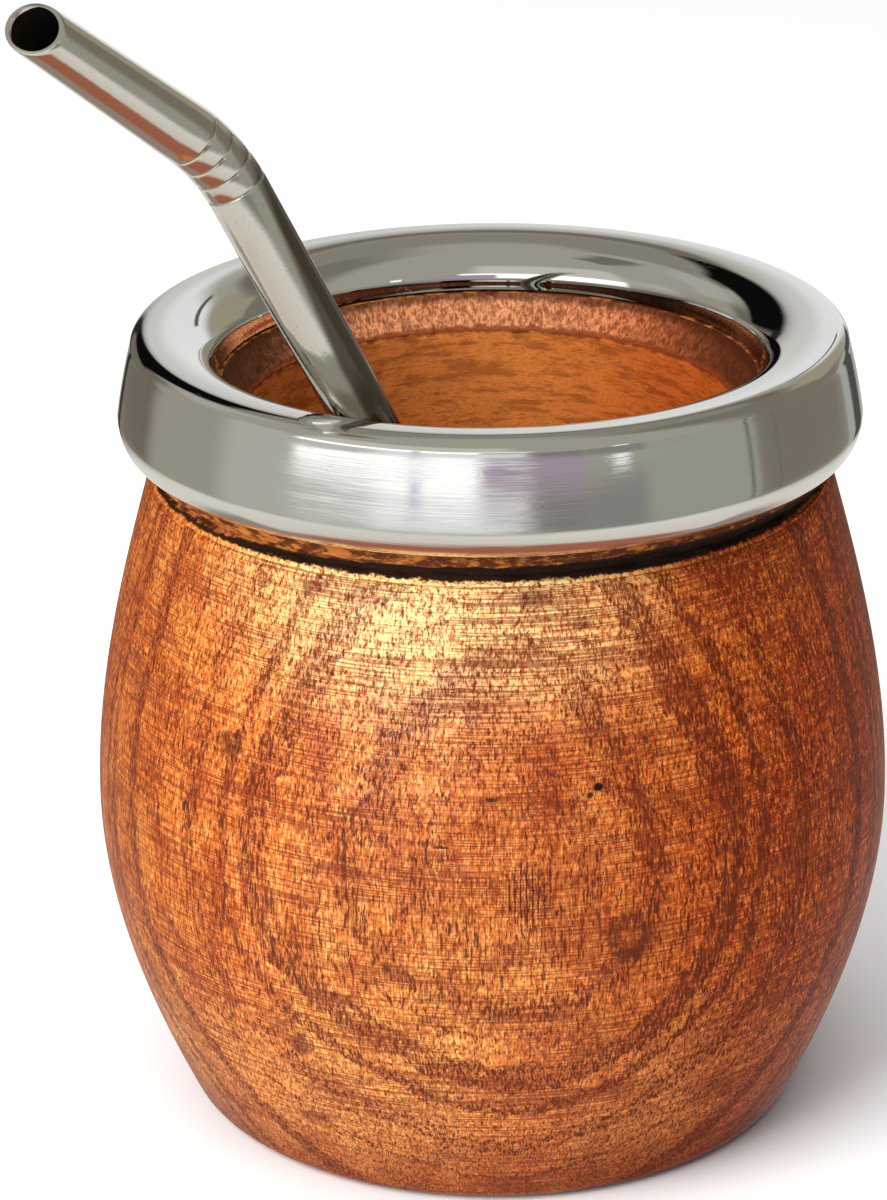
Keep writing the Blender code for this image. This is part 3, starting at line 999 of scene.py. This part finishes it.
def body_finish():
    """Orange-brown hardwood under a satin lacquer, with rings, pores, turning lines, marks, painted
    highlight and painted shade.
    """
    made, nodes, shader = new_material(
        "lacquered_wood", IOR=1.45, Specular_IOR_Level=0.08, Coat_Roughness=0.22, Coat_IOR=1.5
    )
    vector, (x, y, z) = object_mm(nodes)
    colour, speckle, fibres = plain_wood(nodes, vector)
    colour, painted_shade = uneven_tone(nodes, colour, x, z, speckle)
    colour, highlight = add_painted_highlight(nodes, colour, x, z, speckle)
    flow = nodes.noise(vector, *FLOW)
    colour = nodes.mix(nodes.between(flow, *RED_FLOW), colour, WOOD_RED, "MULTIPLY")
    rings = growth_rings(nodes, vector, x, y, z, flow)
    ring_shade = nodes.times(rings, nodes.between(fibres, *RING_STRENGTH))
    colour = nodes.mix(ring_shade, colour, RING_BROWN)
    coarse = nodes.noise(vector, *COARSE_PORES)
    pores = wood_pores(nodes, vector, coarse, fibres, rings, painted_shade)
    pore_strength = nodes.weighted(highlight, PORES_IN_HIGHLIGHT, PORE_STRENGTH)
    colour = nodes.mix(nodes.times(pores, pore_strength), colour, PORE_BROWN)
    lines, turned = turned_lines(nodes, vector, painted_shade)
    colour = nodes.mix(lines, colour, TURNED_RED)
    colour = front_marks(nodes, colour, vector, x, y, z)
    nodes.link(colour, shader.inputs["Base Color"])
    satin_relief(nodes, shader, x, speckle, coarse, turned)
    return made


def burnt_groove(nodes, colour, vector, x, z):
    """The groove, burnt by a wire: wide on the right, thin and broken on the left, and a dark neck."""
    fray = nodes.noise(vector, *GROOVE_FRAY)
    level = nodes.math("SUBTRACT", z, GROOVE_DROP)
    level = nodes.weighted(fray, GROOVE_RAGGED, level)
    mottle = nodes.noise(vector, *NECK_MOTTLE)
    # Painted light on the left of the neck, painted shade on its right
    mottle = nodes.math("ADD", mottle, nodes.between(x, *NECK_PAINTED_LIGHT))
    neck = nodes.mix(nodes.between(mottle, *MOTTLE_LEVEL), NECK_BROWN, NECK_PALE)
    colour = nodes.mix(nodes.between(level, *NECK_START), colour, neck)
    top = nodes.between(x, *BURNT_TOP)
    below_top = nodes.between(nodes.math("SUBTRACT", level, top), *BURNT_TOP_EDGE)
    burnt = nodes.times(below_top, nodes.between(level, *BURNT_START))
    specks = nodes.noise(vector, *ASH_SPECKS)
    ash = nodes.mix(nodes.between(specks, *ASH_LEVEL), BURNT_BLACK, ASH_GREY)
    return nodes.mix(burnt, colour, ash)


def neck_finish():
    """The neck and the burnt groove under the rim, down to the shoulder's ragged edge."""
    made, nodes, shader = new_material("burnt_neck", Specular_IOR_Level=0.1, Roughness=0.7)
    vector, (x, y, z) = object_mm(nodes)
    colour, speckle, fibres = plain_wood(nodes, vector)
    # The body's painted shade and painted highlight, carried up to the groove
    colour = uneven_tone(nodes, colour, x, z, speckle)[0]
    colour = add_painted_highlight(nodes, colour, x, z, speckle)[0]
    colour = burnt_groove(nodes, colour, vector, x, z)
    nodes.link(colour, shader.inputs["Base Color"])
    nodes.link(nodes.bump(speckle, NECK_BUMP), shader.inputs["Normal"])
    return made


def wall_colour(nodes, vector, grit, painted_right_shade):
    """The smooth, smudged inner wall, with painted shade on its right."""
    smudge = nodes.noise(vector, *SMUDGE)
    wall = nodes.mix(WALL_EVEN, nodes.ramp(grit, WOOD_TONES), WALL_ORANGE)
    wall = nodes.mix(nodes.between(grit, *WALL_GRIT), wall, WALL_SMUDGE)
    wall = nodes.mix(nodes.between(smudge, *WALL_SMEAR), wall, WALL_SMUDGE)
    return nodes.mix(painted_right_shade, wall, PAINTED_SHADE_RIGHT, "MULTIPLY")


def collar_colour(nodes, vector, x, level, painted_right_shade):
    """The rough collar under the lip, with painted shade at its top under the lip, at both sides and on
    its right.
    """
    streaks = nodes.noise(vector, *COLLAR_STREAKS)
    collar = nodes.mix(nodes.between(streaks, *STREAK_LEVEL), COLLAR_DARK, COLLAR_PALE)
    collar = nodes.mix(nodes.between(level, *SHADE_UNDER_LIP), collar, COLLAR_PAINTED_SHADE)
    ends = nodes.between(nodes.math("ABSOLUTE", x), *SHADED_COLLAR_ENDS)
    collar = nodes.mix(ends, collar, COLLAR_PAINTED_SHADE)
    return nodes.mix(painted_right_shade, collar, PAINTED_SHADE_RIGHT, "MULTIPLY")


def inside_finish():
    """The inner wall, the collar above it and the dark line of the step between them."""
    made, nodes, shader = new_material("inner_wood", Specular_IOR_Level=0.08, Roughness=0.55)
    vector, (x, y, z) = object_mm(nodes)
    grit = nodes.noise(vector, *GRIT)
    # Painted shade on the right of the inside
    painted_right_shade = nodes.between(x, *INSIDE_PAINTED_SHADE)
    level = nodes.weighted(nodes.noise(vector, *STEP_FRAY), STEP_RAGGED, z)
    wall = wall_colour(nodes, vector, grit, painted_right_shade)
    collar = collar_colour(nodes, vector, x, level, painted_right_shade)
    inner = nodes.mix(nodes.between(level, *COLLAR_START), wall, collar)
    step = nodes.math("ABSOLUTE", nodes.math("SUBTRACT", level, STEP_LINE_Z))
    inner = nodes.mix(nodes.between(step, *STEP_LINE_WIDTH), inner, STEP_BROWN)
    nodes.link(inner, shader.inputs["Base Color"])
    nodes.link(nodes.bump(grit, INSIDE_BUMP), shader.inputs["Normal"])
    return made


def finish_cup(cup):
    """Gives the groove and neck, and the inside, finishes of their own."""
    mesh = cup.data
    mesh.materials.append(neck_finish())
    mesh.materials.append(inside_finish())
    centres = np.empty(len(mesh.polygons) * 3)
    mesh.polygons.foreach_get("center", centres)
    centres = centres.reshape(-1, 3) / MM
    radius = np.hypot(centres[:, 0], centres[:, 1])
    height = centres[:, 2]
    inside = (radius < MOUTH_R) & (height > FLOOR_Z - 1)
    outer_faces = np.where(height > NECK_FACES_Z, NECK_FACES, BODY_FACES)
    mesh.polygons.foreach_set("material_index", np.where(inside, INSIDE_FACES, outer_faces))


def brushed_share(nodes, vector, x, z, radius):
    """How brushed the steel is: the skirt only, worn in bands and less on the right."""
    skirt = nodes.times(nodes.between(radius, *SKIRT_RADIUS), nodes.between(z, *SKIRT_HEIGHT))
    wear = nodes.noise(vector, *SKIRT_WEAR)
    brushed = nodes.times(skirt, nodes.between(wear, *BRUSHED_WEAR))
    return nodes.times(brushed, nodes.between(x, *BRUSHED_SIDE))


def painted_lip_reflection(nodes, x, z, radius):
    """A painted dark reflection: a dark line on the right of the funnel, just above its lip."""
    lip = nodes.between(z, *DARK_REFLECTION_HEIGHT)
    lip = nodes.times(lip, nodes.between(x, *DARK_REFLECTION_SIDE))
    return nodes.times(lip, nodes.between(radius, *DARK_REFLECTION_RADIUS))


def scratches(nodes, vector):
    """Thin short scratches: contour lines of a slow noise, kept only in small patches."""
    slow = nodes.noise(vector, *SCRATCH_LINES)
    contour = nodes.math("ABSOLUTE", nodes.math("SUBTRACT", slow, 0.5))
    places = nodes.noise(vector, *SCRATCH_PLACES)
    patch = nodes.between(places, *SCRATCH_PATCH)
    return nodes.times(nodes.between(contour, *SCRATCH_WIDTH), patch)


def polished_finish():
    """Spun steel: a mirror on crest and funnel, fine turned lines on the skirt, a few scratches, a
    painted dark reflection.
    """
    made, nodes, shader = new_material("polished_steel", Metallic=1.0, Anisotropic=0.5)
    tangent = nodes.add("ShaderNodeTangent", direction_type="RADIAL", axis="Z")
    nodes.link(tangent.outputs[0], shader.inputs["Tangent"])
    vector, (x, y, z) = object_mm(nodes)
    radius = cylinder_radius(nodes, x, y)
    lines = nodes.noise(vector, *SKIRT_LINES)
    brushed = brushed_share(nodes, vector, x, z, radius)
    roughness = nodes.between(lines, *SKIRT_ROUGHNESS)
    roughness = nodes.weighted(roughness, brushed, POLISH_ROUGHNESS)
    nodes.link(roughness, shader.inputs["Roughness"])
    # Painted dark reflection above the lip
    colour = nodes.mix(painted_lip_reflection(nodes, x, z, radius), STEEL_COLOUR, PAINTED_DARK_REFLECTION)
    nodes.link(colour, shader.inputs["Base Color"])
    scratch = nodes.times(scratches(nodes, vector), SCRATCH_DEPTH)
    height = nodes.math("SUBTRACT", nodes.times(lines, brushed), scratch)
    nodes.link(nodes.bump(height, RIM_BUMP), shader.inputs["Normal"])
    return made


def painted_straw_shade(nodes, z):
    """Painted shade on the right-hand side of the straw, which widens towards the rim."""
    to_right = nodes.parts(nodes.add("ShaderNodeTexCoord").outputs["Normal"])[0]
    widening = nodes.between(z, *SHADE_WIDENING_HEIGHT, soft=False)
    return nodes.between(nodes.math("ADD", to_right, widening), *STRAW_SHADE_LEVEL)


def straw_finish():
    """Drawn steel tube with fine pits and painted shade on its right-hand side."""
    made, nodes, shader = new_material("drawn_steel", Metallic=1.0)
    vector, (x, y, z) = object_mm(nodes)
    pits = nodes.noise(vector, *STRAW_PITS)
    cloud = nodes.noise(vector, *STRAW_CLOUD)
    colour = nodes.mix(nodes.between(pits, *PIT_LEVEL), STRAW_COLOUR, STRAW_PIT)
    colour = nodes.mix(painted_straw_shade(nodes, z), colour, STRAW_PAINTED_SHADE)
    nodes.link(colour, shader.inputs["Base Color"])
    nodes.link(nodes.between(cloud, *STRAW_ROUGHNESS), shader.inputs["Roughness"])
    nodes.link(nodes.bump(pits, STRAW_BUMP), shader.inputs["Normal"])
    return made


def bore_finish():
    """The unpolished inside of the straw, painted near black as shade, with a faint brown mottle."""
    made, nodes, shader = new_material("straw_bore", Roughness=0.9, Specular_IOR_Level=0.1)
    bore_mottle = nodes.noise(object_mm(nodes)[0], *BORE_MOTTLE)
    nodes.link(nodes.mix(bore_mottle, BORE_SHADE_BLACK, BORE_SHADE_BROWN), shader.inputs["Base Color"])
    return made


def floor_disc():
    bpy.ops.mesh.primitive_circle_add(vertices=128, radius=FLOOR_REACH, fill_type="NGON")
    floor = bpy.context.object
    floor.name = "floor"
    finish = new_material("pale_floor", Roughness=0.9, Base_Color=(*FLOOR_COLOUR, 1))[0]
    floor.data.materials.append(finish)
    floor.visible_glossy = False


def room_panel(nodes, azimuth, elevation, at, half_width, low, high, edge):
    """How far a direction lies on a panel: 1 inside it, falling to 0 over its soft edge."""
    turn = nodes.math("WRAP", nodes.math("SUBTRACT", azimuth, at), 180, -180)
    turn = nodes.math("ABSOLUTE", turn)
    across = nodes.between(turn, half_width - edge / 2, half_width + edge / 2, 1.0, 0.0)
    middle = (low + high) / 2
    half_height = (high - low) / 2
    lift = nodes.math("ABSOLUTE", nodes.math("SUBTRACT", elevation, middle))
    along = nodes.between(lift, half_height - edge / 2, half_height + edge / 2, 1.0, 0.0)
    return nodes.times(across, along)


def room_colour(nodes, x, y, z):
    """The room by direction: a ramp by height under the panels that polished metal shows."""
    degree = 180 / math.pi
    ahead = nodes.times(y, -1.0)
    elevation = nodes.times(nodes.math("ARCSINE", z), degree)
    azimuth = nodes.times(nodes.math("ARCTAN2", x, ahead), degree)
    share = nodes.between(elevation, -90, 90, soft=False)
    colour = nodes.ramp(share, [((e + 90) / 180, tone) for e, tone in ROOM_BY_HEIGHT])
    for name, at, half_width, low, high, edge, tone in ROOM_PANELS:
        panel = room_panel(nodes, azimuth, elevation, at, half_width, low, high, edge)
        panel.node.label = name
        colour = nodes.mix(panel, colour, tone)
    return colour


def studio_world():
    """Steel sees the room, and matt surfaces a plain light that is brighter from the left front.

    Light isn't sampled from the world: its soft light is found by the rays that reach it, in half
    the time.
    """
    world = bpy.data.worlds.new("studio")
    world.use_nodes = True
    world.cycles.sampling_method = "NONE"
    bpy.context.scene.world = world
    nodes = Nodes(world.node_tree)
    x, y, z = nodes.parts(nodes.add("ShaderNodeTexCoord").outputs["Generated"])
    room = world.node_tree.nodes["Background"]
    nodes.link(room_colour(nodes, x, y, z), room.inputs["Color"])
    side = nodes.times(nodes.math("ADD", x, y), -0.5)
    ambient = nodes.mix(nodes.between(side, *AMBIENT_SPREAD), AMBIENT_RIGHT, AMBIENT_LEFT)
    soft_room = nodes.add("ShaderNodeBackground", ambient)
    diffuse = nodes.add("ShaderNodeLightPath").outputs["Is Diffuse Ray"]
    choice = nodes.add("ShaderNodeMixShader", diffuse, room.outputs[0], soft_room.outputs[0])
    nodes.link(choice.outputs[0], world.node_tree.nodes["World Output"].inputs["Surface"])


def softbox(name, azimuth, elevation, size, power, glossy=True):
    """An area light that faces the cup, placed by the same angles as the panels."""
    data = bpy.data.lights.new(name, "AREA")
    data.shape = "RECTANGLE"
    data.size, data.size_y = size
    data.energy = power
    light = bpy.data.objects.new(name, data)
    a = math.radians(azimuth)
    e = math.radians(elevation)
    back = Vector((math.sin(a) * math.cos(e), -math.cos(a) * math.cos(e), math.sin(e)))
    light.location = LIGHT_AIM + back * LIGHT_DISTANCE
    light.rotation_mode = "QUATERNION"
    light.rotation_quaternion = (-back).to_track_quat("-Z", "Y")
    light.visible_camera = False
    light.visible_glossy = glossy
    bpy.context.scene.collection.objects.link(light)
    return light


def lights(cup):
    """A key from the left, a fill from above, and a streak that only the lacquered wood shows."""
    softbox(*KEY_LIGHT, glossy=False)
    streak = softbox(*WINDOW_STREAK)
    streak.visible_diffuse = False
    on_wood = bpy.data.collections.new("wood_only")
    on_wood.objects.link(cup)
    streak.light_linking.receiver_collection = on_wood
    softbox(*TOP_FILL, glossy=False)


def camera():
    data = bpy.data.cameras.new("camera")
    data.sensor_width = SENSOR
    data.lens = SENSOR * FOCAL_PIXELS / PHOTO_LONG_SIDE
    data.clip_start = 0.01
    obj = bpy.data.objects.new("camera", data)
    forward = Vector((0, math.cos(VIEW_TILT), -math.sin(VIEW_TILT)))
    obj.location = (VIEW_CENTRE - forward * VIEW_DISTANCE) * MM
    obj.rotation_mode = "QUATERNION"
    roll = Matrix.Rotation(-VIEW_ROLL, 4, "Z").to_quaternion()
    obj.rotation_quaternion = forward.to_track_quat("-Z", "Y") @ roll
    bpy.context.scene.collection.objects.link(obj)
    bpy.context.scene.camera = obj


def main():
    cup = lathe("cup_wood", cup_outline(), CUP_SEGMENTS, False, body_finish(), cup_relief)
    finish_cup(cup)
    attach(cup, "root")
    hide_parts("cup")
    rim = lathe("rim_polished", rim_outline(), RIM_SEGMENTS, True, polished_finish(), rim_relief)
    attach(rim, "root")
    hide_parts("rim")
    straw = straw_tube(straw_finish(), bore_finish())
    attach(straw, "root")
    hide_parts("straw")
    floor_disc()
    studio_world()
    lights(cup)
    camera()
    bpy.context.scene.view_settings.view_transform = "Standard"


main()
